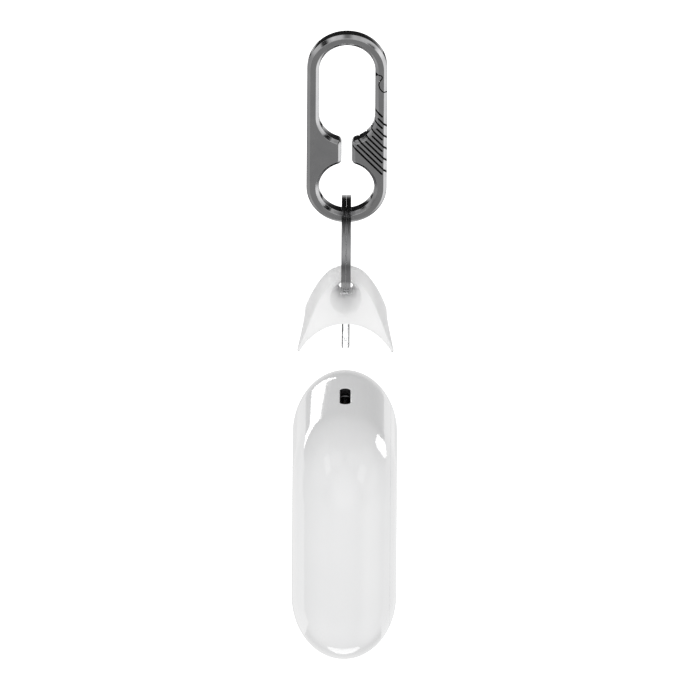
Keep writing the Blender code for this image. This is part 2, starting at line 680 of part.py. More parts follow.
MATERIAL_LIST = {
    "cutter": ((0.5, 0.5, 0.5), 0.5),
    "steel": ((0.36, 0.36, 0.37), 0.32, 1.0),
    "ring_steel": ((0.22, 0.22, 0.23), 0.3, 1.0),
    "silicone": ((0.93, 0.94, 0.94), 0.45, 0.0, 0.6),
    "clear_plastic": ((0.97, 0.98, 0.98), 0.05, 0.0, 0.3),
    "white_gloss": ((0.88, 0.88, 0.89), 0.12),
    "lens": ((0.02, 0.02, 0.025), 0.04),
    "foam": ((0.07, 0.07, 0.075), 0.9),
    "panel": ((0.05, 0.06, 0.08), 0.25),
    "grey_plastic": ((0.3, 0.3, 0.31), 0.5),
    "flex": ((0.62, 0.36, 0.1), 0.4),
    "board": ((0.03, 0.16, 0.08), 0.45),
    "tin": ((0.72, 0.72, 0.7), 0.3, 1.0),
    "chip": ((0.03, 0.03, 0.032), 0.5),
    "cream_plastic": ((0.85, 0.82, 0.72), 0.5),
    "screw_steel": ((0.6, 0.6, 0.61), 0.3, 1.0),
    "battery_wrap": ((0.62, 0.63, 0.65), 0.35, 0.4),
    "socket_steel": ((0.7, 0.7, 0.71), 0.25, 1.0),
    "black_plastic": ((0.03, 0.03, 0.035), 0.4),
    "grey_button": ((0.45, 0.46, 0.47), 0.4),
}
MATERIALS = {}


def main():
    clear_scene()
    for name, look in MATERIAL_LIST.items():
        MATERIALS[name] = material(name, *look)
    root = group("carabiner_body", (0, 0, 0))
    gate = group("gate_body", GATE_PIVOT, root)
    ring = group("ring_body", RING_PIVOT, root)
    hood = group("hood_body", HOOD_AXIS, ring)
    device = group("device_body", DEVICE, hood)
    button = group("button_body", DEVICE + Vector((HALF_THICK, 0, BUTTON_Z)), device)
    plunger = group("plunger_body", DEVICE + Vector((2.0 * MM, 0, BUTTON_Z)), device)
    make_carabiner(root, gate)
    make_split_ring(ring)
    make_hood(hood)
    make_plug(hood)
    make_rear_housing(device)
    make_front_cover(device)
    make_display(device)
    make_display_flex(device)
    make_board(device)
    make_screws(device)
    make_battery(device)
    make_socket(device)
    make_button(button, plunger)


main()
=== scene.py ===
"""Looks of the pocket apex locator: fine meshes, procedural finishes, studio light and camera.

The unit hangs from its split ring and carabiner, drawn off the hood's plug.  Metres, +Z up.
"""

import math

import bmesh
import bpy
from mathutils import Matrix, Vector


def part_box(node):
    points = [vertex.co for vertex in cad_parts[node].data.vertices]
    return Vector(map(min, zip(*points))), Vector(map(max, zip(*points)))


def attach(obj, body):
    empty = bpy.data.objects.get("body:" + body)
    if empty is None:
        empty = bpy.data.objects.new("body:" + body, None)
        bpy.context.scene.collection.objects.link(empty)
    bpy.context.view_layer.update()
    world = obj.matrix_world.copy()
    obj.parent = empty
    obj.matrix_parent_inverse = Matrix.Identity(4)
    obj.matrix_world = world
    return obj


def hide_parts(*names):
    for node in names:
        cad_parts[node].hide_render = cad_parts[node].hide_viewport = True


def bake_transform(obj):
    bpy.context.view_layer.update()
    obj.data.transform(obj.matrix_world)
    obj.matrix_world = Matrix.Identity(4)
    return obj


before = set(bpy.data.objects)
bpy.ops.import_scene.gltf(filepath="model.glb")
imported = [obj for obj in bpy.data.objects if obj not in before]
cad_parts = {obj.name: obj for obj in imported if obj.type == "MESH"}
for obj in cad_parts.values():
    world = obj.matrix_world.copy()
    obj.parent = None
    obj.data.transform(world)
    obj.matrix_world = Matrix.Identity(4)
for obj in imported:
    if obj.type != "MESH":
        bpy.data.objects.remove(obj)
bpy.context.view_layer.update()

MM = 0.001
SHARP = 35      # degrees: steeper edges stay crisp
GAP = 0.3 * MM  # clearance between pieces that don't touch

# -------------------------------- sizes, as in the CAD

PLATE_LOW, PLATE_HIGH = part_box("carabiner_frame")
PLATE_RADIUS = -PLATE_LOW.x
PLATE_FACE = PLATE_HIGH.y
PLATE_CHAMFER = 0.8 * MM
OPENING_CHAMFER_DEPTH = 0.6 * MM
EDGE_SOFT = 0.16 * MM
LOOP_RADIUS = 6.7 * MM
LOOP_LENGTH = 12.6 * MM
EYE_RADIUS = 6.65 * MM
NECK_HALF = 1.25 * MM
NOSE_RADIUS = 1.3 * MM
LOOP_TOP_Z = PLATE_HIGH.z - PLATE_RADIUS
LOOP_END_Z = LOOP_TOP_Z - LOOP_LENGTH
EYE_Z = PLATE_LOW.z + PLATE_RADIUS

KERF = 0.4 * MM
JOINT_GAP = 0.3 * MM
FRAME_NOTCH_Z = -6.25 * MM
GATE_NOTCH_Z = -9.25 * MM
SLOT_ANGLE = math.radians(-46.9)
SLOT_ALONG = (math.cos(SLOT_ANGLE), math.sin(SLOT_ANGLE))
SLOT_NORMAL = (-SLOT_ALONG[1], SLOT_ALONG[0])
SLOT_FIRST = -6.8 * MM
SLOT_PITCH = 1.06 * MM
SLOT_COUNT = 11
SLOT_OUTER_X = 8.4 * MM
SLOT_BRIDGE = 1.2 * MM

RING_LOW, RING_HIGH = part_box("split_ring")
RING_OUTER = 11.85 * MM
RING_INNER = 9.85 * MM
RING_WIRE = 1.13 * MM
RING_PITCH = 1.15 * MM
RING_JOG = math.radians(34.0)
RING_Z = (RING_LOW.z + RING_HIGH.z) / 2

REAR_LOW, REAR_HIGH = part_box("rear_housing")
HALF_THICK = -REAR_LOW.x
HALF_DEPTH = REAR_HIGH.y
HALF_HEIGHT = (REAR_HIGH.z - REAR_LOW.z) / 2
DEVICE_Z = (REAR_HIGH.z + REAR_LOW.z) / 2
CORNER_RADIUS = 18.4 * MM
EDGE_DEPTH = 15.3 * MM
WALL = 1.8 * MM
REAR_SEAM = 60.7    # degrees round the pebble's skin, from the widest edge
COVER_SEAM = 60.95
LENS_X = (11.56 * MM, 12.46 * MM)
WINDOW_HALF = (10.6 * MM, 13.6 * MM)
WINDOW_RADIUS = 2.6 * MM
WINDOW_Z = 2.6 * MM  # above the unit's middle
PORT_HALF = (1.28 * MM, 4.17 * MM)
PORT_WALL = 0.35 * MM
BLADE_HALF = (0.3 * MM, 3.1 * MM)

# Millimetres from the unit's middle, along Y and Z.
SCREW_SPOTS = ((16.5, 17.0), (-16.5, 17.0), (15.0, -19.0), (-15.0, -19.0))
BUTTON_SPOT = (0.0, -20.4)

UNDOCK = 22.5 * MM  # how far the unit is drawn off the plug
ARCH_Z = DEVICE_Z + HALF_HEIGHT - EDGE_DEPTH + UNDOCK
ARCH_HALF = HALF_THICK + GAP
ARCH_RISE = EDGE_DEPTH + GAP
CEILING_Z = ARCH_Z + ARCH_RISE
HOOD_AXIS_Z = RING_Z - (RING_OUTER + RING_INNER) / 2


# -------------------------------- outlines

def arc(centre, radius, start, end, steps):
    """Points along an arc in degrees, both ends included."""
    angles = [math.radians(start + (end - start) * i / steps) for i in range(steps + 1)]
    return [(centre[0] + radius * math.cos(a), centre[1] + radius * math.sin(a)) for a in angles]


def rounded(half_y, half_z, radius, centre_z=0.0, steps=10):
    """A rounded rectangle as pairs."""
    points = []
    for side_y, side_z, start in ((1, 1, 0), (-1, 1, 90), (-1, -1, 180), (1, -1, 270)):
        corner = (side_y * (half_y - radius), centre_z + side_z * (half_z - radius))
        points += arc(corner, radius, start, start + 90, steps)
    return points


def soften(path, radius, steps=4):
    """An open polyline with its inner corners rounded."""
    points = [path[0]]
    for before, corner, after in zip(path, path[1:], path[2:]):
        corner = Vector(corner)
        back = Vector(before) - corner
        ahead = Vector(after) - corner
        turn = math.pi - back.angle(ahead, math.pi)
        reach = min(radius * math.tan(turn / 2), 0.45 * back.length, 0.45 * ahead.length)
        first = corner + back.normalized() * reach
        last = corner + ahead.normalized() * reach
        for i in range(steps + 1):
            t = i / steps
            point = first * (1 - t) ** 2 + corner * 2 * t * (1 - t) + last * t * t
            points.append((point.x, point.y))
    return points + [path[-1]]


def capsule(start, end, half, steps=6):
    """A slot's outline with round ends."""
    turn = math.degrees(math.atan2(end[1] - start[1], end[0] - start[0]))
    points = arc(end, half, turn - 90, turn + 90, steps)
    return points + arc(start, half, turn + 90, turn + 270, steps)


def at_x(x, outline):
    return [Vector((x, y, z)) for y, z in outline]


def at_y(y, outline):
    return [Vector((x, y, z)) for x, z in outline]


def at_z(z, outline):
    return [Vector((x, y, z)) for x, y in outline]


# -------------------------------- meshes

def skin(bm, rows, ring=False, cross=True):
    """Quads between neighbouring rows of vertices; cross joins each row's end to its start."""
    pairs = list(zip(rows, rows[1:] + rows[:1])) if ring else list(zip(rows, rows[1:]))
    count = len(rows[0])
    for low, high in pairs:
        for i in range(count if cross else count - 1):
            j = (i + 1) % count
            bm.faces.new((low[i], low[j], high[j], high[i]))


def loft(loops, ring=False, bm=None):
    """A closed body skinned over loops with equal point counts."""
    bm = bm or bmesh.new()
    rows = [[bm.verts.new(point) for point in loop] for loop in loops]
    skin(bm, rows, ring)
    if not ring:
        bm.faces.new(rows[0])
        bm.faces.new(rows[-1])
    return bm


def turned(profile, origin, axis, steps=64):
    """A body of revolution from (distance along the axis, radius) pairs."""
    turn = Vector((0, 0, 1)).rotation_difference(Vector(axis)).to_matrix().to_4x4()
    place = Matrix.Translation(origin) @ turn
    loops = []
    for along, radius in profile:
        circle = arc((0, 0), radius, 0, 360, steps)[:-1]
        loops.append([place @ Vector((x, y, along)) for x, y in circle])
    return loft(loops)


def as_object(name, bm, finish=None):
    """Turn a bmesh into an object in the scene."""
    bmesh.ops.recalc_face_normals(bm, faces=bm.faces[:])
    mesh = bpy.data.meshes.new(name)
    bm.to_mesh(mesh)
    bm.free()
    if finish:
        mesh.materials.append(FINISHES[finish])
    obj = bpy.data.objects.new(name, mesh)
    bpy.context.scene.collection.objects.link(obj)
    return obj


def carve(obj, bm, operation='DIFFERENCE', finish=None):
    """Cut a body out of obj, or keep only what they share; cut faces may have their own finish."""
    tool = as_object("carve_tool", bm, finish)
    mod = obj.modifiers.new("carve", 'BOOLEAN')
    mod.operation = operation
    mod.solver = 'EXACT'
    mod.material_mode = 'TRANSFER' if finish else 'INDEX'
    mod.object = tool
    graph = bpy.context.evaluated_depsgraph_get()
    mesh = bpy.data.meshes.new_from_object(obj.evaluated_get(graph))
    obj.modifiers.clear()
    obj.data = mesh
    bpy.data.objects.remove(tool, do_unlink=True)


def dress(obj, finish, nodes, sharp=SHARP):
    """Smooth shading, a finish, and hiding the CAD nodes that the mesh stands for."""
    obj.data.shade_smooth()
    obj.data.set_sharp_from_angle(angle=math.radians(sharp))
    if not obj.data.materials:
        obj.data.materials.append(FINISHES[finish])
    if nodes:
        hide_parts(*nodes)


def piece(obj, finish, body, nodes=(), sharp=SHARP):
    """Finish a mesh and hang it on its body."""
    dress(obj, finish, nodes, sharp)
    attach(obj, body)


# -------------------------------- finishes

FINISHES = {}


class Finish:
    """A Principled material with a small kit of procedural texture nodes."""

    def __init__(self, name, **sockets):
        self.material = bpy.data.materials.new("look_" + name)
        self.material.use_nodes = True
        self.nodes = self.material.node_tree.nodes
        self.links = self.material.node_tree.links
        self.shader = self.nodes["Principled BSDF"]
        self.place = self.nodes.new("ShaderNodeTexCoord").outputs["Object"]
        for socket, value in sockets.items():
            value = (*value, 1.0) if socket.endswith("Color") else value
            self.shader.inputs[socket.replace("_", " ")].default_value = value
        FINISHES[name] = self.material

    def link(self, value, socket):
        """Feed a value to the shader's socket."""
        self.links.new(value, self.shader.inputs[socket])

    def stretched(self, stretch):
        """The place on the object, scaled along each axis."""
        node = self.nodes.new("ShaderNodeMapping")
        node.inputs["Scale"].default_value = stretch
        self.links.new(self.place, node.inputs["Vector"])
        return node.outputs["Vector"]

    def noise(self, size, detail=3.0, stretch=(1, 1, 1)):
        """Noise whose features are about size millimetres across."""
        node = self.nodes.new("ShaderNodeTexNoise")
        node.inputs["Scale"].default_value = 1 / (size * MM)
        node.inputs["Detail"].default_value = detail
        self.links.new(self.stretched(stretch), node.inputs["Vector"])
        return node.outputs["Fac"]

    def cells(self, size, feature='F1', stretch=(1, 1, 1), randomness=1.0):
        """Distances in a pattern of cells about size millimetres across."""
        node = self.nodes.new("ShaderNodeTexVoronoi")
        node.feature = feature
        node.inputs["Scale"].default_value = 1 / (size * MM)
        node.inputs["Randomness"].default_value = randomness
        self.links.new(self.stretched(stretch), node.inputs["Vector"])
        return node.outputs["Distance"]

    def stripes(self, size):
        """Bands across Y, size millimetres apart."""
        node = self.nodes.new("ShaderNodeTexWave")
        node.bands_direction = 'Y'
        node.inputs["Scale"].default_value = 0.314 / (size * MM)
        self.links.new(self.place, node.inputs["Vector"])
        return node.outputs["Fac"]

    def spread(self, value, low, high, start=0.3, end=0.7):
        """Map the stretch from start to end onto low to high."""
        node = self.nodes.new("ShaderNodeMapRange")
        node.inputs["From Min"].default_value = start
        node.inputs["From Max"].default_value = end
        node.inputs["To Min"].default_value = low
        node.inputs["To Max"].default_value = high
        self.links.new(value, node.inputs["Value"])
        return node.outputs["Result"]

    def colours(self, value, *stops):
        """A colour ramp: (position, colour) pairs."""
        node = self.nodes.new("ShaderNodeValToRGB")
        ramp = node.color_ramp
        while len(ramp.elements) < len(stops):
            ramp.elements.new(1.0)
        for element, (position, colour) in zip(ramp.elements, stops):
            element.position = position
            element.color = (*colour, 1.0)
        self.links.new(value, node.inputs["Fac"])
        return node.outputs["Color"]

    def relief(self, *layers):
        """Stacked bumps: (height, depth in millimetres) pairs."""
        normal = None
        for height, depth in layers:
            node = self.nodes.new("ShaderNodeBump")
            node.inputs["Distance"].default_value = depth * MM
            self.links.new(height, node.inputs["Height"])
            if normal:
                self.links.new(normal, node.inputs["Normal"])
            normal = node.outputs["Normal"]
        self.link(normal, "Normal")


def metal(name, dark, light, smooth, rough, grain=0.12, depth=0.0004, stretch=(1, 1, 1)):
    """Blasted or brushed metal: cloudy tone, uneven roughness and fine grain."""
    look = Finish(name, Metallic=1.0)
    tone = look.noise(3.0, 4.0)
    fine = look.noise(grain, 2.0, stretch)
    look.link(look.colours(tone, (0.32, dark), (0.7, light)), "Base Color")
    look.link(look.spread(fine, smooth, rough), "Roughness")
    look.relief((fine, depth), (look.noise(grain * 14, 2.0), depth * 2.0))


def plastic(name, dark, light, smooth, rough, grain=0.25, depth=0.004, cloud=6.0):
    """Moulded plastic: slight tone changes, uneven gloss and a spark-eroded grain."""
    look = Finish(name)
    fine = look.noise(grain, 3.0)
    look.link(look.colours(look.noise(cloud, 3.0), (0.3, dark), (0.7, light)), "Base Color")
    look.link(look.spread(look.noise(cloud / 3, 4.0), smooth, rough), "Roughness")
    look.relief((fine, depth))
    return look


def make_metals():
    metal("steel", (0.6, 0.6, 0.61), (0.66, 0.66, 0.665), 0.13, 0.19)
    # Near-black metal for the walls of the spring slots and the gate's joint: painted shade inside the
    # narrow cuts, not a different finish of the steel.
    metal("slot_shade_steel", (0.02, 0.02, 0.021), (0.045, 0.045, 0.047), 0.5, 0.7, 0.05, 0.002)
    metal("ring_steel", (0.34, 0.34, 0.35), (0.4, 0.4, 0.405), 0.15, 0.22, 0.12, 0.0003,
          (1, 0.2, 0.2))
    metal("tin", (0.62, 0.61, 0.59), (0.74, 0.73, 0.71), 0.22, 0.36, 0.15, 0.001, (1, 6, 0.5))
    metal("screw_steel", (0.5, 0.5, 0.51), (0.62, 0.62, 0.63), 0.2, 0.34, 0.1)
    metal("socket_steel", (0.5, 0.5, 0.51), (0.62, 0.62, 0.63), 0.16, 0.3, 0.1)
    # Darker than the socket's own steel: it stands in for the socket's shell on the port's walls and also
    # paints shade inside the hole.
    metal("port_shade_lining", (0.2, 0.2, 0.21), (0.3, 0.3, 0.31), 0.3, 0.45, 0.1)
    metal("gold", (0.78, 0.5, 0.2), (0.88, 0.6, 0.28), 0.16, 0.3, 0.08, 0.0006)


def make_shell_finishes():
    """White casing, silicone with a faint painted glow, clear plug and the display's lens and panel."""
    shell = Finish("white_gloss", Coat_Weight=0.25, Coat_Roughness=0.03, IOR=1.5)
    tone = shell.colours(shell.noise(22.0, 3.0), (0.3, (0.84, 0.842, 0.846)), (0.7, (0.87, 0.871, 0.874)))
    shell.link(tone, "Base Color")
    shell.link(shell.spread(shell.noise(5.0, 5.0, (1, 1, 0.4)), 0.07, 0.12), "Roughness")
    shell.relief((shell.noise(7.0, 1.0), 0.004), (shell.noise(0.5, 2.0), 0.00015))

    # The silicone carries a faint white emission: painted light that brightens the hood evenly, not a lamp.
    silicone = Finish("silicone", Subsurface_Weight=0.85, Subsurface_Scale=0.004, IOR=1.36,
                      Transmission_Weight=0.08, Sheen_Weight=0.1, Sheen_Roughness=0.5,
                      Emission_Color=(1.0, 1.0, 1.0), Emission_Strength=0.03)
    silicone.shader.inputs["Subsurface Radius"].default_value = (1.0, 1.0, 1.0)
    tone = silicone.colours(silicone.noise(4.0, 4.0), (0.3, (0.965, 0.966, 0.968)),
                            (0.7, (0.985, 0.985, 0.985)))
    silicone.link(tone, "Base Color")
    silicone.link(silicone.spread(silicone.noise(1.4, 4.0), 0.38, 0.5), "Roughness")
    silicone.relief((silicone.noise(0.14, 3.0), 0.002), (silicone.noise(3.0, 2.0), 0.02))

    clear = Finish("clear_plastic", Transmission_Weight=0.97, IOR=1.49)
    tone = clear.colours(clear.noise(2.0, 2.0), (0.3, (0.955, 0.96, 0.965)), (0.7, (0.985, 0.988, 0.99)))
    clear.link(tone, "Base Color")
    clear.link(clear.spread(clear.noise(0.7, 4.0, (1, 1, 0.15)), 0.02, 0.09), "Roughness")
    clear.relief((clear.noise(0.8, 2.0, (1, 1, 0.2)), 0.004))

    lens = Finish("lens", Transmission_Weight=0.94, IOR=1.5, Coat_Weight=0.3, Coat_Roughness=0.02)
    tone = lens.colours(lens.noise(9.0, 2.0), (0.3, (0.30, 0.31, 0.33)), (0.7, (0.34, 0.35, 0.37)))
    lens.link(tone, "Base Color")
    lens.link(lens.spread(lens.noise(3.0, 5.0), 0.01, 0.035), "Roughness")
    lens.relief((lens.noise(8.0, 1.0), 0.002))

    panel = Finish("panel", Metallic=0.15)
    pixels = panel.cells(0.22, 'F1', (1, 1, 1), 0.0)
    tone = panel.colours(pixels, (0.3, (0.035, 0.045, 0.07)), (0.6, (0.012, 0.015, 0.025)))
    panel.link(tone, "Base Color")
    panel.link(panel.spread(panel.noise(4.0, 3.0), 0.16, 0.26), "Roughness")
    panel.relief((pixels, 0.002))


def make_inner_finishes():
    """Plastics, board, battery and the display's lit segments."""
    plastic("mask", (0.006, 0.006, 0.007), (0.012, 0.012, 0.013), 0.25, 0.4, 0.12, 0.001)
    plastic("grey_plastic", (0.2, 0.2, 0.21), (0.28, 0.28, 0.29), 0.4, 0.58)
    plastic("black_plastic", (0.012, 0.012, 0.013), (0.025, 0.025, 0.027), 0.3, 0.5)
    plastic("cream_plastic", (0.74, 0.7, 0.58), (0.82, 0.79, 0.68), 0.38, 0.55)
    plastic("grey_button", (0.5, 0.505, 0.51), (0.57, 0.573, 0.578), 0.3, 0.42, 0.18, 0.003)

    chip = plastic("chip", (0.014, 0.014, 0.015), (0.03, 0.03, 0.031), 0.45, 0.62, 0.08, 0.003, 2.0)
    chip.relief((chip.noise(0.07, 3.0), 0.003), (chip.noise(1.5, 2.0), 0.004))

    foam = Finish("foam", Sheen_Weight=0.25, Sheen_Roughness=0.6)
    pores = foam.cells(0.35)
    foam.link(foam.colours(pores, (0.05, (0.012, 0.012, 0.013)), (0.6, (0.06, 0.06, 0.064))), "Base Color")
    foam.link(foam.spread(foam.noise(1.0), 0.82, 0.95), "Roughness")
    foam.relief((pores, 0.12))

    flex = Finish("flex", IOR=1.5)
    tracks = flex.stripes(0.5)
    flex.link(flex.colours(tracks, (0.35, (0.36, 0.15, 0.03)), (0.6, (0.62, 0.33, 0.09))), "Base Color")
    flex.link(flex.spread(flex.noise(1.2, 3.0), 0.28, 0.42), "Roughness")
    flex.relief((tracks, 0.02), (flex.noise(2.0), 0.01))

    board = Finish("board", IOR=1.5)
    tracks = board.cells(1.9, 'DISTANCE_TO_EDGE', (0.01, 1, 1), 0.35)
    vias = board.cells(3.4, 'F1', (0.01, 1, 1), 0.8)
    mask = board.nodes.new("ShaderNodeMix")
    mask.data_type = 'RGBA'
    colour = board.colours(tracks, (0.05, (0.03, 0.2, 0.09)), (0.09, (0.012, 0.1, 0.045)))
    board.links.new(colour, mask.inputs["A"])
    mask.inputs["B"].default_value = (0.7, 0.55, 0.28, 1.0)
    board.links.new(board.spread(vias, 1.0, 0.0, 0.09, 0.13), mask.inputs["Factor"])
    board.link(mask.outputs["Result"], "Base Color")
    board.link(board.spread(board.noise(2.5, 4.0), 0.32, 0.5), "Roughness")
    board.relief((board.spread(tracks, 1.0, 0.0, 0.05, 0.09), 0.03), (board.noise(0.2), 0.004))

    wrap = Finish("battery_wrap", Metallic=0.35, Coat_Weight=0.4, Coat_Roughness=0.12)
    creases = wrap.noise(5.0, 5.0, (1, 0.4, 1.6))
    tone = wrap.colours(wrap.noise(8.0, 3.0), (0.3, (0.5, 0.51, 0.53)), (0.7, (0.62, 0.63, 0.65)))
    wrap.link(tone, "Base Color")
    wrap.link(wrap.spread(creases, 0.24, 0.44), "Roughness")
    wrap.relief((creases, 0.12), (wrap.noise(0.4), 0.006))

    for name, glow in (("bar_green", (0.1, 0.8, 0.25)), ("bar_amber", (0.95, 0.55, 0.05)),
                       ("bar_red", (0.9, 0.08, 0.05)), ("bar_white", (0.75, 0.8, 0.85))):
        bar = Finish(name, Emission_Strength=1.6)
        dots = bar.cells(0.22, 'F1', (1, 1, 1), 0.0)
        tone = bar.colours(dots, (0.2, glow), (0.6, [0.7 * c for c in glow]))
        bar.link(tone, "Base Color")
        bar.link(tone, "Emission Color")
        bar.link(bar.spread(bar.noise(0.6), 0.3, 0.45), "Roughness")


# -------------------------------- carabiner

def plate_outline(grow):
    radius = PLATE_RADIUS + grow
    return arc((0, LOOP_TOP_Z), radius, 0, 180, 72) + arc((0, EYE_Z), radius, 180, 360, 72)


def opening_outline(grow):
    """Loop, neck and eye as one opening; both pairs of noses are rounded."""
    nose = NOSE_RADIUS - grow
    nose_x = NECK_HALF + NOSE_RADIUS
    upper_z = LOOP_END_Z - math.sqrt((LOOP_RADIUS + NOSE_RADIUS) ** 2 - nose_x ** 2)
    lower_z = EYE_Z + math.sqrt((EYE_RADIUS + NOSE_RADIUS) ** 2 - nose_x ** 2)
    loop_turn = math.degrees(math.atan2(LOOP_END_Z - upper_z, nose_x))
    eye_turn = math.degrees(math.atan2(lower_z - EYE_Z, nose_x))
    right = arc((0, LOOP_TOP_Z), LOOP_RADIUS + grow, 90, 0, 30)
    right += arc((0, LOOP_END_Z), LOOP_RADIUS + grow, 0, -loop_turn, 24)
    right += arc((nose_x, upper_z), nose, 180 - loop_turn, 180, 9)[1:]
    right += arc((nose_x, lower_z), nose, 180, 180 + eye_turn, 9)
    right += arc((0, EYE_Z), EYE_RADIUS + grow, eye_turn, -90, 44)[1:]
    left = [(-x, z) for x, z in reversed(right[1:-1])]
    return right + left


def rim(width, depth):
    """Section of the plate's edge, from the front face round to the back face."""
    support = 0.14 * MM  # a narrow band beside the chamfer keeps the faces' shading flat
    edge = PLATE_FACE - depth
    path = [(-width - support, -PLATE_FACE), (-width, -PLATE_FACE), (0.0, -edge),
            (0.0, edge), (-width, PLATE_FACE), (-width - support, PLATE_FACE)]
    return soften(path, EDGE_SOFT)


def plate():
    """The whole plate with its opening, chamfered and softened along every edge."""
    bm = bmesh.new()
    outer = []
    for grow, y in rim(PLATE_CHAMFER, PLATE_CHAMFER):
        outer.append([bm.verts.new(point) for point in at_y(y, plate_outline(grow))])
    inner = []
    for grow, y in rim(PLATE_CHAMFER, OPENING_CHAMFER_DEPTH):
        inner.append([bm.verts.new(point) for point in at_y(y, opening_outline(-grow))])
    skin(bm, outer)
    skin(bm, inner)
    for rows in ((outer[0], inner[0]), (outer[-1], inner[-1])):
        edges = []
        for row in rows:
            edges += [bm.edges.get((a, b)) for a, b in zip(row, row[1:] + row[:1])]
        bmesh.ops.triangle_fill(bm, use_beauty=True, edges=edges)
    return bm


def slot_offset(index):
    """Distance of a slot's middle line from the origin, across the slots."""
    return SLOT_FIRST - SLOT_PITCH * index


def slot_point(offset, x):
    """The point of a slot's middle line at x."""
    reach = (x - offset * SLOT_NORMAL[0]) / SLOT_ALONG[0]
    return (x, offset * SLOT_NORMAL[1] + reach * SLOT_ALONG[1])


def slot_inner_x(offset):
    """Where a slot's middle line meets the loop or the neck."""
    away = offset - LOOP_END_Z * SLOT_NORMAL[1]
    reach = LOOP_END_Z * SLOT_ALONG[1] + math.sqrt(LOOP_RADIUS ** 2 - away ** 2)
    return max(offset * SLOT_NORMAL[0] + reach * SLOT_ALONG[0], NECK_HALF + NOSE_RADIUS / 3)


def spring_slots():
    """Slots from the loop and from the outer edge by turns, with broken edges."""
    bm = bmesh.new()
    broken = 0.04 * MM
    past_edge_x = 12.0 * MM
    into_opening = 2.0 * MM
    for index in range(SLOT_COUNT):
        offset = slot_offset(index)
        inner = slot_inner_x(offset)
        closed = inner + SLOT_BRIDGE * SLOT_ALONG[0] if index % 2 else SLOT_OUTER_X
        outside = past_edge_x if index % 2 else inner - into_opening
        ends = slot_point(offset, closed), slot_point(offset, outside)
        deep = PLATE_FACE - broken
        beyond = PLATE_FACE + broken
        levels = ((-beyond, 2 * broken), (-deep, 0.0), (deep, 0.0), (beyond, 2 * broken))
        loft([at_y(y, capsule(*ends, KERF / 2 + grow)) for y, grow in levels], bm=bm)
    return bm


def gate_joint(distance):
    """The interlocking line between the frame's nose and the gate's hooked tip, moved sideways."""
    line = [(7.36, -7.65), (8.13, -7.83), (8.41, -8.25), (8.3, -8.75), (7.74, -9.45), (7.55, -10.32),
            (7.84, -11.41), (8.32, -12.05), (8.8, -12.33), (9.6, -12.5), (11.0, -12.55)]
    path = soften([(x * MM, z * MM) for x, z in line], 0.5 * MM, 3)
    moved = []
    for i, point in enumerate(path):
        run = (Vector(path[min(i + 1, len(path) - 1)]) - Vector(path[max(i - 1, 0)])).normalized()
        moved.append((point[0] - run.y * distance, point[1] + run.x * distance))
    return moved


def gate_side(notch_z, distance):
    """The plate's right side, from the gate's joint down to the last slot's middle."""
    left = 5.5 * MM  # in the loop, clear of the arm
    foot = [slot_point(slot_offset(SLOT_COUNT - 1), x) for x in (11.0 * MM, 0.0)]
    inside = [(0.0, -22.0 * MM), (left, -17.0 * MM)]
    outline = [(left, notch_z)] + gate_joint(distance) + foot + inside
    return loft([at_y(-2 * PLATE_FACE, outline), at_y(2 * PLATE_FACE, outline)])


def make_carabiner():
    body = as_object("carabiner_plate", plate(), "steel")
    # The joint's and slots' cut walls get the near-black finish: painted shade inside the cuts.
    carve(body, gate_side(FRAME_NOTCH_Z, JOINT_GAP / 2), finish="slot_shade_steel")
    carve(body, spring_slots(), finish="slot_shade_steel")
    piece(body, "steel", "carabiner", ["carabiner_frame"])
    flexure = as_object("gate_flexure", plate(), "steel")
    # The flexure's cut walls get the same near-black finish: painted shade inside the cuts.
    carve(flexure, gate_side(GATE_NOTCH_Z, -JOINT_GAP / 2), 'INTERSECT', "slot_shade_steel")
    carve(flexure, spring_slots(), finish="slot_shade_steel")
    dress(flexure, "steel", ["gate_spring", "gate_arm"])
    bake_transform(flexure)


# -------------------------------- split ring

def ring_shift(turn):
    """Sideways place of the wire: one pitch across, in a smooth jog halfway along."""
    jog = min(max((turn - 2 * math.pi) / RING_JOG + 0.5, 0.0), 1.0)
    return RING_PITCH * (jog * jog * (3 - 2 * jog) - 0.5)


def make_ring():
    """Two turns of flat wire with drawn, rounded edges and eased ends."""
    steps = 300
    first = RING_JOG / 2 + math.radians(4)
    last = 4 * math.pi - first
    middle = (RING_OUTER + RING_INNER) / 2
    half = (RING_OUTER - RING_INNER) / 2
    ease = (0.0, 0.05, 0.12, 0.2)
    turns = [first + e * MM / middle for e in ease]
    turns += [first + (last - first) * i / steps for i in range(1, steps)]
    turns += [last - e * MM / middle for e in reversed(ease)]
    loops = []
    for number, turn in enumerate(turns):
        end = min(number, len(turns) - 1 - number)
        shrink = 0.14 * MM * (1 - math.sin(math.radians(30 * min(end, 3))))
        section = rounded(RING_WIRE / 2 - shrink, half - shrink, 0.13 * MM, steps=4)
        loops.append([Vector((ring_shift(turn) + side,
                              (middle + out) * math.cos(turn),
                              RING_Z + (middle + out) * math.sin(turn))) for side, out in section])
    piece(as_object("key_ring", loft(loops)), "ring_steel", "ring", ["split_ring"])


# -------------------------------- hood

HOOD_TIP_X = 9.3 * MM
HOOD_TIP_FLARE = 1.7 * MM
HOOD_TIP_LAP = 0.5 * MM
HOOD_SHEET = 1.5 * MM
HOOD_BLEND = 0.7 * MM
HOOD_DEPTH = 6.8 * MM
HOOD_LEAN = 0.31
HOOD_TIP_POWER = 1.33
HOOD_BASE_Z = ARCH_Z + 7.0 * MM
HOOD_CREST = (20.3 * MM, 10.1 * MM, 3.1)
HOOD_FACE = (19.4 * MM, 11.5 * MM, 2.25)
HOOD_EDGE = 0.24 * MM
HOOD_ROWS = 44

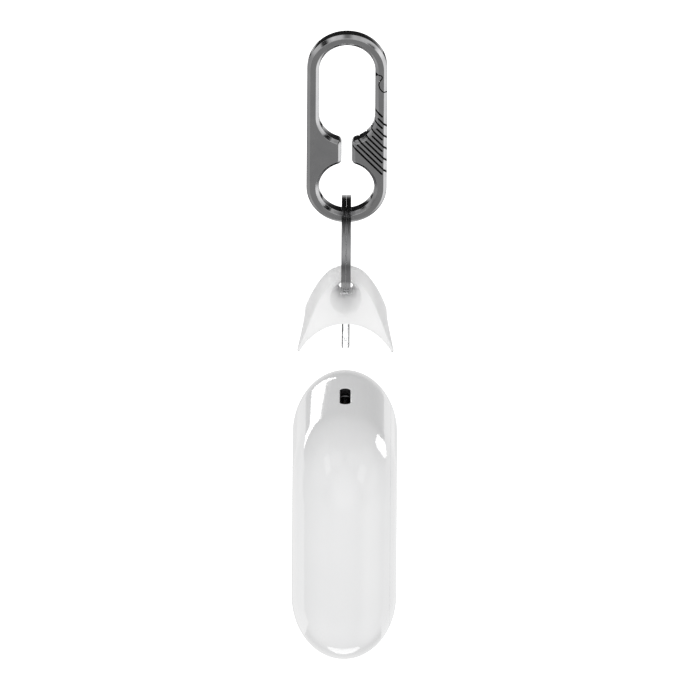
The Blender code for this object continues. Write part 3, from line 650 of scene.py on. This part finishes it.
# In millimetres: steps out and up round a pointed end's edge, then the cross hole's stations as
# (distance from its middle, radius) and the radius of its middle.
TIP_CURVE = ((0.2, 0.04), (0.36, 0.13), (0.5, 0.28), (0.58, 0.5))
FUNNEL = ((8.0, 6.6), (6.4, 5.1), (5.5, 4.35), (5.0, 3.95), (4.4, 3.5), (3.6, 2.9), (2.6, 2.3),
          (1.5, 1.9))
THROAT = 1.8

PLUG_HALF = (0.95 * MM, 3.8 * MM)
PLUG_WALL = 0.45 * MM
PLUG_REACH = 8.2 * MM
PLUG_ROOT = 2.5 * MM


def arch_height(x):
    """Underside of the hood, which follows the unit's top edge."""
    return ARCH_Z + ARCH_RISE * math.sqrt(1 - (x / ARCH_HALF) ** 2)


def soft_max(a, b, soft):
    """The larger of two values, with a rounded change from one to the other."""
    gap = min(abs(a - b) / soft, 40.0)
    return max(a, b) + soft * math.log(1 + math.exp(-gap))


def dome(curve, x):
    """Height at x of a curve with a rise over the hood's base, a half width and a power."""
    rise, half, power = curve
    return HOOD_BASE_Z + rise * (1 - (abs(x) / half) ** power)


def top_height(x, share):
    """Top of the hood: crest in the middle of its depth, lower shoulders on its two faces."""
    crest = dome(HOOD_CREST, x)
    face = dome(HOOD_FACE, x)
    return soft_max(crest + (face - crest) * share ** 2, arch_height(x) + HOOD_SHEET, HOOD_BLEND)


def hood_depth(z):
    """Half depth along Y: both faces lean inwards above the arch, with a soft crease."""
    return HOOD_DEPTH - HOOD_LEAN * soft_max(z - CEILING_Z, 0.0, 0.5 * MM)


def hood_section(share, inset):
    """Loop of (x, z) points, underside first, at a share of the depth: -1 in front, 1 behind."""
    turns = [math.sin(math.radians(-90 + 180 * i / HOOD_ROWS)) for i in range(HOOD_ROWS + 1)]
    tip_x = HOOD_TIP_X + HOOD_TIP_FLARE * ((1 - share) / 2) ** HOOD_TIP_POWER
    top_x = tip_x + HOOD_TIP_LAP
    under = [(tip_x * t, arch_height(tip_x * t)) for t in turns]
    top = [(top_x * t, top_height(top_x * t, share)) for t in turns]
    tip_z = arch_height(tip_x)
    tip = [(tip_x + out * MM, tip_z + up * MM) for out, up in TIP_CURVE]
    loop = under + tip + top[::-1] + [(-x, z) for x, z in reversed(tip)]
    count = len(loop)
    moved = []
    for i, point in enumerate(loop):
        run = (Vector(loop[(i + 1) % count]) - Vector(loop[i - 1])).normalized()
        moved.append((point[0] - run.y * inset, point[1] + run.x * inset))
    return moved


def hood_cap(bm, row, sign):
    """A face of the hood in quads, so that its crease stays clean."""
    count = HOOD_ROWS + 1
    tip = len(TIP_CURVE)
    under = row[:count]
    top = row[count + tip:2 * count + tip][::-1]
    levels = 7
    rows = [under]
    for level in range(1, levels):
        t = level / levels
        line = []
        for low, high in zip(under, top):
            point = low.co.lerp(high.co, t)
            line.append(bm.verts.new((point.x, sign * hood_depth(point.z), point.z)))
        rows.append(line)
    rows.append(top)
    skin(bm, rows, cross=False)
    bm.faces.new([line[-1] for line in reversed(rows)] + row[count:count + tip])
    bm.faces.new([line[0] for line in rows] + row[2 * count + tip:])


def hood_body():
    """The hood without its cross hole and the plug's pocket."""
    bm = bmesh.new()
    loops = []
    edge_turns = [math.radians(a) for a in (90, 66, 44, 22)]
    for turn in edge_turns:
        section = hood_section(-1.0, HOOD_EDGE * (1 - math.cos(turn)))
        loops.append([(x, -(hood_depth(z) - HOOD_EDGE * (1 - math.sin(turn))), z) for x, z in section])
    for i in range(-12, 13):
        share = math.sin(math.radians(7.5 * i))
        section = hood_section(share, 0.0)
        loops.append([(x, share * (hood_depth(z) - HOOD_EDGE), z) for x, z in section])
    for turn in reversed(edge_turns):
        section = hood_section(1.0, HOOD_EDGE * (1 - math.cos(turn)))
        loops.append([(x, hood_depth(z) - HOOD_EDGE * (1 - math.sin(turn)), z) for x, z in section])
    rows = [[bm.verts.new(point) for point in loop] for loop in loops]
    skin(bm, rows)
    hood_cap(bm, rows[0], -1)
    hood_cap(bm, rows[-1], 1)
    return bm


def make_hood():
    """Saddle of silicone with a cross hole that opens into a funnel on both faces."""
    hood = as_object("hood_shell", hood_body())
    front = [(-along, radius) for along, radius in FUNNEL]
    path = [(along * MM, radius * MM) for along, radius in front + [(0.0, THROAT)] + list(FUNNEL[::-1])]
    carve(hood, turned(path, (0, 0, HOOD_AXIS_Z - 0.2 * MM), (0, 1, 0), 72))
    half_x, half_y = 1.2 * MM, 4.05 * MM
    pocket = rounded(half_x, half_y, half_x * 0.95)
    loops = [at_z(z, pocket) for z in (CEILING_Z - 1.0 * MM, CEILING_Z + PLUG_ROOT + GAP)]
    carve(hood, loft(loops))
    hood.visible_glossy = False
    piece(hood, "silicone", "hood", ["silicone_hood"], 50)


def make_plug():
    """Hollow flat sleeve with a rounded lip, closed at its root."""
    bottom = CEILING_Z - PLUG_REACH
    levels = [(0.0, CEILING_Z + PLUG_ROOT)]
    for turn in range(0, 91, 15):
        a = math.radians(turn)
        levels.append((0.2 * MM * (1 - math.cos(a)), bottom + 0.35 * MM * (1 - math.sin(a))))
    levels += [(PLUG_WALL - 0.05 * MM, bottom), (PLUG_WALL, bottom + 0.06 * MM),
               (PLUG_WALL, CEILING_Z - 0.4 * MM), (PLUG_WALL + 0.15 * MM, CEILING_Z - 0.2 * MM)]
    loops = []
    for inset, z in levels:
        x, y = PLUG_HALF[0] - inset, PLUG_HALF[1] - inset
        loops.append(at_z(z, rounded(x, y, x * 0.95)))
    piece(as_object("plug_sleeve", loft(loops)), "clear_plastic", "hood", ["hood_plug"], 40)


# -------------------------------- casing

# Profiles turned about X, as (distance along X, radius) in millimetres.
SCREW_BOSS = ((-10.9, 2.0), (-3.35, 2.0), (-3.23, 1.88), (-3.23, 1.2), (-3.33, 1.1), (-8.4, 1.1))
BUTTON_HOLE = ((8.0, 1.6), (12.0, 1.6), (12.12, 1.63), (12.24, 1.78), (12.6, 2.3))
BUTTON_CAP = ((3.0, 0.8), (9.2, 0.8), (9.21, 1.8), (9.8, 1.8), (9.81, 1.3), (12.1, 1.3), (12.25, 1.27),
              (12.36, 1.18), (12.42, 1.02), (12.42, 0.86), (12.39, 0.8), (12.33, 0.72), (12.31, 0.55),
              (12.3, 0.2))


def inset_loop(x, inset):
    """The pebble's outline drawn in by inset, at x."""
    return at_x(x, rounded(HALF_DEPTH - inset, HALF_HEIGHT - inset, CORNER_RADIUS - inset, DEVICE_Z, 22))


def pebble_loop(angle, wall=0.0):
    """One ring of the pebble's skin: 90 degrees is a flat face's rim, 0 the widest edge."""
    turn = math.radians(angle)
    inset = wall + (EDGE_DEPTH - wall) * (1 - math.cos(turn))
    return inset_loop((HALF_THICK - wall) * math.sin(turn), inset)


def window_loop(x, grow):
    """The display window's outline, grown, at x."""
    half_y, half_z = (half + grow for half in WINDOW_HALF)
    return at_x(x, rounded(half_y, half_z, WINDOW_RADIUS + grow, DEVICE_Z + WINDOW_Z, 22))


def turned_across(profile, spot, steps=64):
    """A body turned about X through a (y, z) spot of the unit, all in millimetres."""
    y, z = spot
    path = [(along * MM, radius * MM) for along, radius in profile]
    return turned(path, (0, y * MM, DEVICE_Z + z * MM), (1, 0, 0), steps)


def port_cutter(levels):
    """A rounded slot from (growth, height) levels."""
    loops = []
    for grow, z in levels:
        half_x, half_y = (half + grow for half in PORT_HALF)
        loops.append(at_z(DEVICE_Z + z, rounded(half_x, half_y, half_x * 0.97, steps=12)))
    return loft(loops)


def rear_shell():
    """Hollow rear half of the pebble, up to its seam."""
    rings = 44
    soft = 0.06 * MM
    angles = [-90 + (REAR_SEAM + 90) * i / rings for i in range(rings + 1)]
    loops = [pebble_loop(a) for a in angles]
    loops += [pebble_loop(REAR_SEAM, soft), pebble_loop(REAR_SEAM, WALL)]
    loops += [pebble_loop(a, WALL) for a in reversed(angles[:-1])]
    return loft(loops)


def carve_port(rear):
    """A hole whose walls are painted dark metal, partly standing for the socket's shell and partly painted
    shade inside the hole, with a flared white lip.
    """
    lip = 0.3 * MM
    foot = HALF_HEIGHT - lip - 0.1 * MM
    # The port's cut walls get the dark lining: the socket's shell plus painted shade.
    carve(rear, port_cutter([(0.0, 27.0 * MM), (0.0, HALF_HEIGHT + 1.0 * MM)]), finish="port_shade_lining")
    flare = [(lip * (1 - math.cos(math.radians(a))) - 0.01 * MM, foot + lip * math.sin(math.radians(a)))
             for a in range(0, 76, 15)]
    below = (-0.4 * MM, foot - 0.02 * MM)
    above = (lip + 0.4 * MM, HALF_HEIGHT + 0.5 * MM)
    carve(rear, port_cutter([below] + flare + [above]))


def make_rear():
    rear = as_object("casing_rear", rear_shell(), "white_gloss")
    carve_port(rear)
    for spot in SCREW_SPOTS:
        carve(rear, turned_across(SCREW_BOSS, spot, 40), 'UNION')
    piece(rear, "white_gloss", "device", ["rear_housing"], 30)


def make_cover():
    """Front half with the window's ledge and a locating rib behind the seam."""
    angles = [COVER_SEAM + (90 - COVER_SEAM) * i / 12 for i in range(13)]
    loops = [pebble_loop(a) for a in angles]
    lip = 0.18 * MM
    for turn in range(0, 91, 30):
        a = math.radians(turn)
        loops.append(window_loop(HALF_THICK - lip * (1 - math.cos(a)), GAP + lip * (1 - math.sin(a))))
    ledge_x, ledge_grow = 11.25 * MM, -1.2 * MM
    loops += [window_loop(ledge_x, GAP), window_loop(ledge_x, ledge_grow)]
    loops += [window_loop(HALF_THICK - WALL, ledge_grow), pebble_loop(90, WALL)]
    rib_x, rib_inner, rib_outer = 8.4 * MM, 9.6 * MM, 8.9 * MM
    loops += [pebble_loop(74, WALL), inset_loop(9.7 * MM, rib_inner), inset_loop(rib_x, rib_inner)]
    loops += [inset_loop(rib_x, rib_outer), inset_loop(9.5 * MM, rib_outer)]
    loops += [pebble_loop(COVER_SEAM, WALL)]
    cover = as_object("casing_cover", loft(loops, ring=True))
    carve(cover, turned_across(BUTTON_HOLE, BUTTON_SPOT))
    piece(cover, "white_gloss", "device", ["front_cover"], 30)


def make_lens():
    """Lens with softened edges, and a printed mask under it."""
    soft = 0.12 * MM
    back, front = LENS_X
    levels = [(back, -soft), (back + soft, 0.0), (front - soft, 0.0)]
    levels += [(front - soft * (1 - math.sin(math.radians(a))), -soft * (1 - math.cos(math.radians(a))))
               for a in (30, 60, 90)]
    lens = loft([window_loop(x, grow) for x, grow in levels])
    piece(as_object("lens_glass", lens), "lens", "device", ["display_lens"])
    low, high, border = 11.44 * MM, 11.52 * MM, -1.9 * MM
    mask = [window_loop(x, grow) for x, grow in ((low, 0.0), (high, 0.0), (high, border), (low, border))]
    piece(as_object("lens_mask", loft(mask, ring=True)), "mask", "device")


def segment_tone(number):
    """Finish of a bar in the column, counted from the top."""
    if number < 4:
        return "bar_white"
    if number < 8:
        return "bar_green"
    return "bar_amber" if number < 10 else "bar_red"


def make_segments():
    """A generic column of lit bars and a short row of dashes beside it, in millimetres."""
    segments = {"bar_white": [], "bar_green": [], "bar_amber": [], "bar_red": []}
    column_y, pitch, first_z = -2.6, 1.35, 11.6
    for number in range(12):
        mark = (column_y, first_z - pitch * number, 1.5 + 0.22 * number, 0.42)
        segments[segment_tone(number)].append(mark)
    dashes = ((4.2, 10.4), (4.0, 6.5), (3.9, 2.6), (4.2, -1.4), (4.9, -5.0))
    segments["bar_white"] += [(y, z, 0.55 - 0.06 * i, 1.2) for i, (y, z) in enumerate(dashes)]
    back, front = 9.47 * MM, 9.55 * MM
    for tone, marks in segments.items():
        bm = bmesh.new()
        for y, z, half_y, half_z in marks:
            radius = min(half_y, half_z) * 0.6 * MM
            outline = [(y * MM + a, DEVICE_Z + z * MM + b) for a, b in
                       rounded(half_y * MM, half_z * MM, radius, steps=4)]
            loft([at_x(back, outline), at_x(front, outline)], bm=bm)
        piece(as_object("segments_" + tone, bm), tone, "device")


def make_socket():
    """Metal can with a rolled rim."""
    low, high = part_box("socket_shell")
    top, floor = high.z, low.z - high.z
    outer_x, outer_y = (half + PORT_WALL for half in PORT_HALF)
    roll = PORT_WALL / 2
    levels = [(0.0, floor), (0.0, -0.16 * MM)]
    levels += [(roll * (1 - math.cos(math.radians(a))), roll * (math.sin(math.radians(a)) - 1))
               for a in range(20, 181, 20)]
    levels += [(PORT_WALL, floor + 0.6 * MM), (PORT_WALL + 0.1 * MM, floor + 0.5 * MM)]
    loops = []
    for inset, drop in levels:
        half_x = outer_x - inset
        loops.append(at_z(top + drop, rounded(half_x, outer_y - inset, half_x * 0.95, steps=12)))
    piece(as_object("socket_can", loft(loops)), "socket_steel", "device", ["socket_shell"])


def make_blade():
    """Black blade with a thicker root, which the contacts lie on."""
    low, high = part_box("socket_tongue")
    half_x, half_y = BLADE_HALF
    levels = [(0.98 * MM, 3.6 * MM, low.z), (0.98 * MM, 3.6 * MM, low.z + 0.3 * MM),
              (0.9 * MM, 3.5 * MM, low.z + 0.4 * MM), (half_x, half_y, low.z + 0.42 * MM),
              (half_x, half_y, high.z - 0.16 * MM), (half_x - 0.08 * MM, half_y - 0.1 * MM, high.z)]
    loops = [at_z(z, rounded(x, y, min(x, y) * 0.7, steps=3)) for x, y, z in levels]
    blade = as_object("socket_blade", loft(loops))
    piece(blade, "black_plastic", "device", ["socket_tongue"])


def make_contacts():
    """Eight gold strips on each face of the blade."""
    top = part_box("socket_tongue")[1].z
    half, pitch, thickness = 0.16 * MM, 0.7 * MM, 0.03 * MM
    bm = bmesh.new()
    for side in (-1, 1):
        for i in range(8):
            y = (i - 3.5) * pitch
            face = side * (BLADE_HALF[0] + 0.005 * MM)
            ends = [(y - half, top - 3.6 * MM), (y + half, top - 3.6 * MM),
                    (y + half, top - 0.5 * MM), (y - half, top - 0.5 * MM)]
            loft([at_x(face, ends), at_x(face + side * thickness, ends)], bm=bm)
    piece(as_object("socket_contacts", bm), "gold", "device")


def make_button():
    """Cap with a rounded rim and a shallow dish, on a flanged stem."""
    cap = turned_across(BUTTON_CAP, BUTTON_SPOT)
    piece(as_object("button_cap", cap), "grey_button", "button", ["power_button"])


def dress_inside():
    """The inner CAD nodes keep their shapes and get finished materials."""
    looks = {"display_gasket": "foam", "display_panel": "panel", "display_tray": "grey_plastic",
             "display_flex": "flex", "display_connector": "grey_plastic", "main_board": "board",
             "shield_can": "tin", "measuring_chip": "chip", "charger_chip": "chip", "buzzer": "chip",
             "battery": "battery_wrap", "battery_pad": "foam", "battery_connector": "cream_plastic",
             "tact_switch": "grey_plastic", "switch_plunger": "black_plastic"}
    looks.update({f"board_screw_{i}": "screw_steel" for i in range(1, 5)})
    for name, finish in looks.items():
        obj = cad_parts[name]
        obj.data.materials.clear()
        obj.data.materials.append(FINISHES[finish])


# -------------------------------- studio

ELEVATION = math.radians(28.0)
ROLL = math.radians(0.37)
AIM = Vector((1.08 * MM, 0.0, -83.07 * MM))
DISTANCE = 1.0
VIEW_WIDTH = 0.1673

# Light that falls on matt surfaces: an even level and how it changes with direction.
FILL = 1.04
FILL_SLOPE = (-0.005, -0.05, -0.12)

# What gloss reflects: a low level all round, and patches with a direction, a strength, and an
# outer and an inner half angle in degrees.
GLOSS_LEVEL = 0.02
LOBES = (
    ((0, 0.883, -0.469), 1.0, 46, 12),
    ((1, 0, -0.45), 1.0, 50, 20),
    ((-1, 0, -0.45), 0.42, 50, 20),
    ((0, -0.956, 0.292), 0.85, 45, 8),
    ((0, -0.883, -0.469), 0.2, 60, 20),
    ((0, -0.2, -1), 0.32, 60, 20),
    ((0, -0.469, 0.883), 0.2, 26, 8),
    ((-0.8, -0.25, 0.5), 0.7, 36, 10),
    ((0.8, -0.3, 0.4), 0.9, 36, 10),
    ((-0.36, -0.43, 0.83), 0.75, 18, 5),
    ((0.36, -0.43, 0.83), 0.6, 18, 5),
    ((0.88, -0.25, -0.47), 0.3, 24, 6),
)

# Glowing sheets that only the casing and the lens reflect: name, strength and stations along the
# sheet, each a direction and a half width in degrees.
GLOSS_ONLY = bpy.data.collections.new("casing_gloss")
CARD_DISTANCE = 0.9
CARDS = (
    ("strip_left", 5.5, (((-0.17, 0.93, 0.32), 0.8), ((-0.25, 0.93, 0.27), 2.3), ((-0.36, 0.91, 0.17), 4.4),
                         ((-0.48, 0.87, 0.06), 5.4), ((-0.66, 0.75, -0.03), 4.4), ((-0.78, 0.6, -0.14), 3.4),
                         ((-0.82, 0.49, -0.27), 2.6), ((-0.8, 0.44, -0.4), 2.0))),
    ("diamond_right", 5.0, (((0.7, 0.69, 0.2), 1.0), ((0.77, 0.62, 0.15), 14.0), ((0.83, 0.55, 0.08), 15.0),
                            ((0.88, 0.47, 0.02), 1.0))),
    ("square_left", 1.4, (((-0.79, -0.37, 0.49), 12.0), ((-0.62, -0.42, 0.66), 12.0))),
    ("square_right", 1.4, (((0.8, -0.5, 0.33), 12.0), ((0.6, -0.58, 0.55), 12.0))),
    ("crescent", 1.9, (((-0.3, 0.14, -0.94), 3.0), ((-0.12, 0.15, -0.98), 8.0), ((0.12, 0.15, -0.98), 8.0),
                       ((0.3, 0.14, -0.94), 3.0))),
    ("rim_left", 0.95, (((-0.3, 0.83, -0.46), 14.0), ((-0.6, 0.65, -0.4), 22.0),
                        ((-0.85, 0.3, -0.38), 20.0))),
    ("rim_right", 1.0, (((0.25, 0.84, -0.46), 14.0), ((0.6, 0.65, -0.4), 22.0),
                        ((0.85, 0.3, -0.38), 18.0))),
)


def emitter(name, base, strength):
    """A matt white-glowing material without any gloss of its own."""
    mat = bpy.data.materials.new(name)
    mat.use_nodes = True
    shader = mat.node_tree.nodes["Principled BSDF"]
    shader.inputs["Base Color"].default_value = (*base, 1)
    shader.inputs["Specular IOR Level"].default_value = 0.0
    shader.inputs["Emission Color"].default_value = (1, 1, 1, 1)
    shader.inputs["Emission Strength"].default_value = strength
    return mat


def make_floor():
    """A pale sheet below the hanging row, which neither lights it nor shows in its gloss."""
    half, height = 6.0, -0.3
    bm = bmesh.new()
    corners = ((-half, -half), (half, -half), (half, half), (-half, half))
    bm.faces.new([bm.verts.new((x, y, height)) for x, y in corners])
    floor = as_object("floor", bm)
    paper = emitter("floor_paper", (0.9, 0.9, 0.9), 0.8)
    paper.node_tree.nodes["Principled BSDF"].inputs["Roughness"].default_value = 0.9
    floor.data.materials.append(paper)
    floor.visible_glossy = False
    floor.visible_diffuse = False
    floor.visible_shadow = False


def lobe(tree, direction, colour, wide, narrow, add_to):
    """Adds a soft patch of light around a direction to the surroundings."""
    dot = tree.nodes.new("ShaderNodeVectorMath")
    dot.operation = 'DOT_PRODUCT'
    dot.inputs[1].default_value = Vector(direction).normalized()
    tree.links.new(tree.nodes["direction"].outputs["Vector"], dot.inputs[0])
    span = tree.nodes.new("ShaderNodeMapRange")
    span.interpolation_type = 'SMOOTHSTEP'
    span.inputs["From Min"].default_value = math.cos(math.radians(wide))
    span.inputs["From Max"].default_value = math.cos(math.radians(narrow))
    span.inputs["To Max"].default_value = colour
    tree.links.new(dot.outputs["Value"], span.inputs["Value"])
    total = tree.nodes.new("ShaderNodeMath")
    total.operation = 'ADD'
    tree.links.new(span.outputs["Result"], total.inputs[0])
    if add_to is None:
        total.inputs[1].default_value = GLOSS_LEVEL
    else:
        tree.links.new(add_to, total.inputs[1])
    return total.outputs["Value"]


def make_world():
    """White to the camera; soft patches of light and dark for reflections."""
    world = bpy.data.worlds.new("studio")
    bpy.context.scene.world = world
    world.use_nodes = True
    world.cycles.sampling_method = 'NONE'
    tree = world.node_tree
    tree.nodes.clear()
    coordinates = tree.nodes.new("ShaderNodeTexCoord")
    direction = tree.nodes.new("ShaderNodeVectorMath")
    direction.name = "direction"
    direction.operation = 'NORMALIZE'
    tree.links.new(coordinates.outputs["Generated"], direction.inputs[0])
    level = None
    for towards, strength, wide, narrow in LOBES:
        level = lobe(tree, towards, strength, wide, narrow, level)
    path = tree.nodes.new("ShaderNodeLightPath")
    shine = tree.nodes.new("ShaderNodeBackground")
    tree.links.new(level, shine.inputs["Strength"])
    slope = tree.nodes.new("ShaderNodeVectorMath")
    slope.operation = 'DOT_PRODUCT'
    slope.inputs[1].default_value = FILL_SLOPE
    tree.links.new(direction.outputs["Vector"], slope.inputs[0])
    base = tree.nodes.new("ShaderNodeMath")
    base.operation = 'ADD'
    base.inputs[1].default_value = FILL
    tree.links.new(slope.outputs["Value"], base.inputs[0])
    fill = tree.nodes.new("ShaderNodeBackground")
    tree.links.new(base.outputs["Value"], fill.inputs["Strength"])
    white = tree.nodes.new("ShaderNodeBackground")
    glossy = tree.nodes.new("ShaderNodeMixShader")
    tree.links.new(path.outputs["Is Glossy Ray"], glossy.inputs["Fac"])
    tree.links.new(fill.outputs[0], glossy.inputs[1])
    tree.links.new(shine.outputs[0], glossy.inputs[2])
    seen = tree.nodes.new("ShaderNodeMixShader")
    tree.links.new(path.outputs["Is Camera Ray"], seen.inputs["Fac"])
    tree.links.new(glossy.outputs[0], seen.inputs[1])
    tree.links.new(white.outputs[0], seen.inputs[2])
    output = tree.nodes.new("ShaderNodeOutputWorld")
    tree.links.new(seen.outputs[0], output.inputs["Surface"])


def card(name, path, strength):
    """A glowing sheet along stations round the object, facing it."""
    bm = bmesh.new()
    rows = []
    for number, (towards, half) in enumerate(path):
        middle = Vector(towards).normalized()
        before = Vector(path[max(number - 1, 0)][0]).normalized()
        after = Vector(path[min(number + 1, len(path) - 1)][0]).normalized()
        side = middle.cross(after - before).normalized() * math.tan(math.radians(half))
        line = [AIM + (middle + side * t).normalized() * CARD_DISTANCE for t in (-1, 0, 1)]
        rows.append([bm.verts.new(point) for point in line])
    skin(bm, rows, cross=False)
    obj = as_object(name, bm)
    obj.data.materials.append(emitter("glow_" + name, (0, 0, 0), strength))
    obj.visible_camera = False
    obj.visible_diffuse = False
    obj.visible_transmission = False
    obj.visible_shadow = False
    obj.light_linking.receiver_collection = GLOSS_ONLY


def key_lamp(direction, size, power, distance):
    """A square lamp that faces the middle of the object and doesn't show in its gloss."""
    data = bpy.data.lights.new("key", 'AREA')
    data.shape = 'RECTANGLE'
    data.size = size
    data.size_y = size
    data.energy = power
    obj = bpy.data.objects.new("key", data)
    away = Vector(direction).normalized()
    obj.location = AIM + away * distance
    obj.rotation_mode = 'QUATERNION'
    obj.rotation_quaternion = away.to_track_quat('Z', 'Y')
    bpy.context.scene.collection.objects.link(obj)
    obj.visible_glossy = False
    obj.visible_camera = False
    obj.visible_transmission = False


def make_camera():
    """A long view from the front, a little above."""
    data = bpy.data.cameras.new("camera")
    data.type = 'ORTHO'
    data.ortho_scale = VIEW_WIDTH
    data.clip_end = 20.0
    camera = bpy.data.objects.new("camera", data)
    bpy.context.scene.collection.objects.link(camera)
    back = Vector((0, -math.cos(ELEVATION), math.sin(ELEVATION)))
    camera.location = AIM + back * DISTANCE
    camera.rotation_mode = 'QUATERNION'
    roll = Matrix.Rotation(ROLL, 3, 'Z').to_quaternion()
    camera.rotation_quaternion = (-back).to_track_quat('-Z', 'Y') @ roll
    bpy.context.scene.camera = camera


def make_studio():
    make_floor()
    make_world()
    key_lamp((-0.2, -0.95, 0.2), 0.7, 1.3, 0.9)
    for name in ("casing_rear", "casing_cover", "lens_glass"):
        GLOSS_ONLY.objects.link(bpy.data.objects[name])
    for name, strength, path in CARDS:
        card(name, path, strength)
    bpy.context.scene.view_settings.view_transform = 'Standard'


make_metals()
make_shell_finishes()
make_inner_finishes()
make_carabiner()
make_ring()
make_hood()
make_plug()
make_rear()
make_cover()
make_lens()
make_segments()
make_socket()
make_blade()
make_contacts()
make_button()
dress_inside()
make_studio()
make_camera()
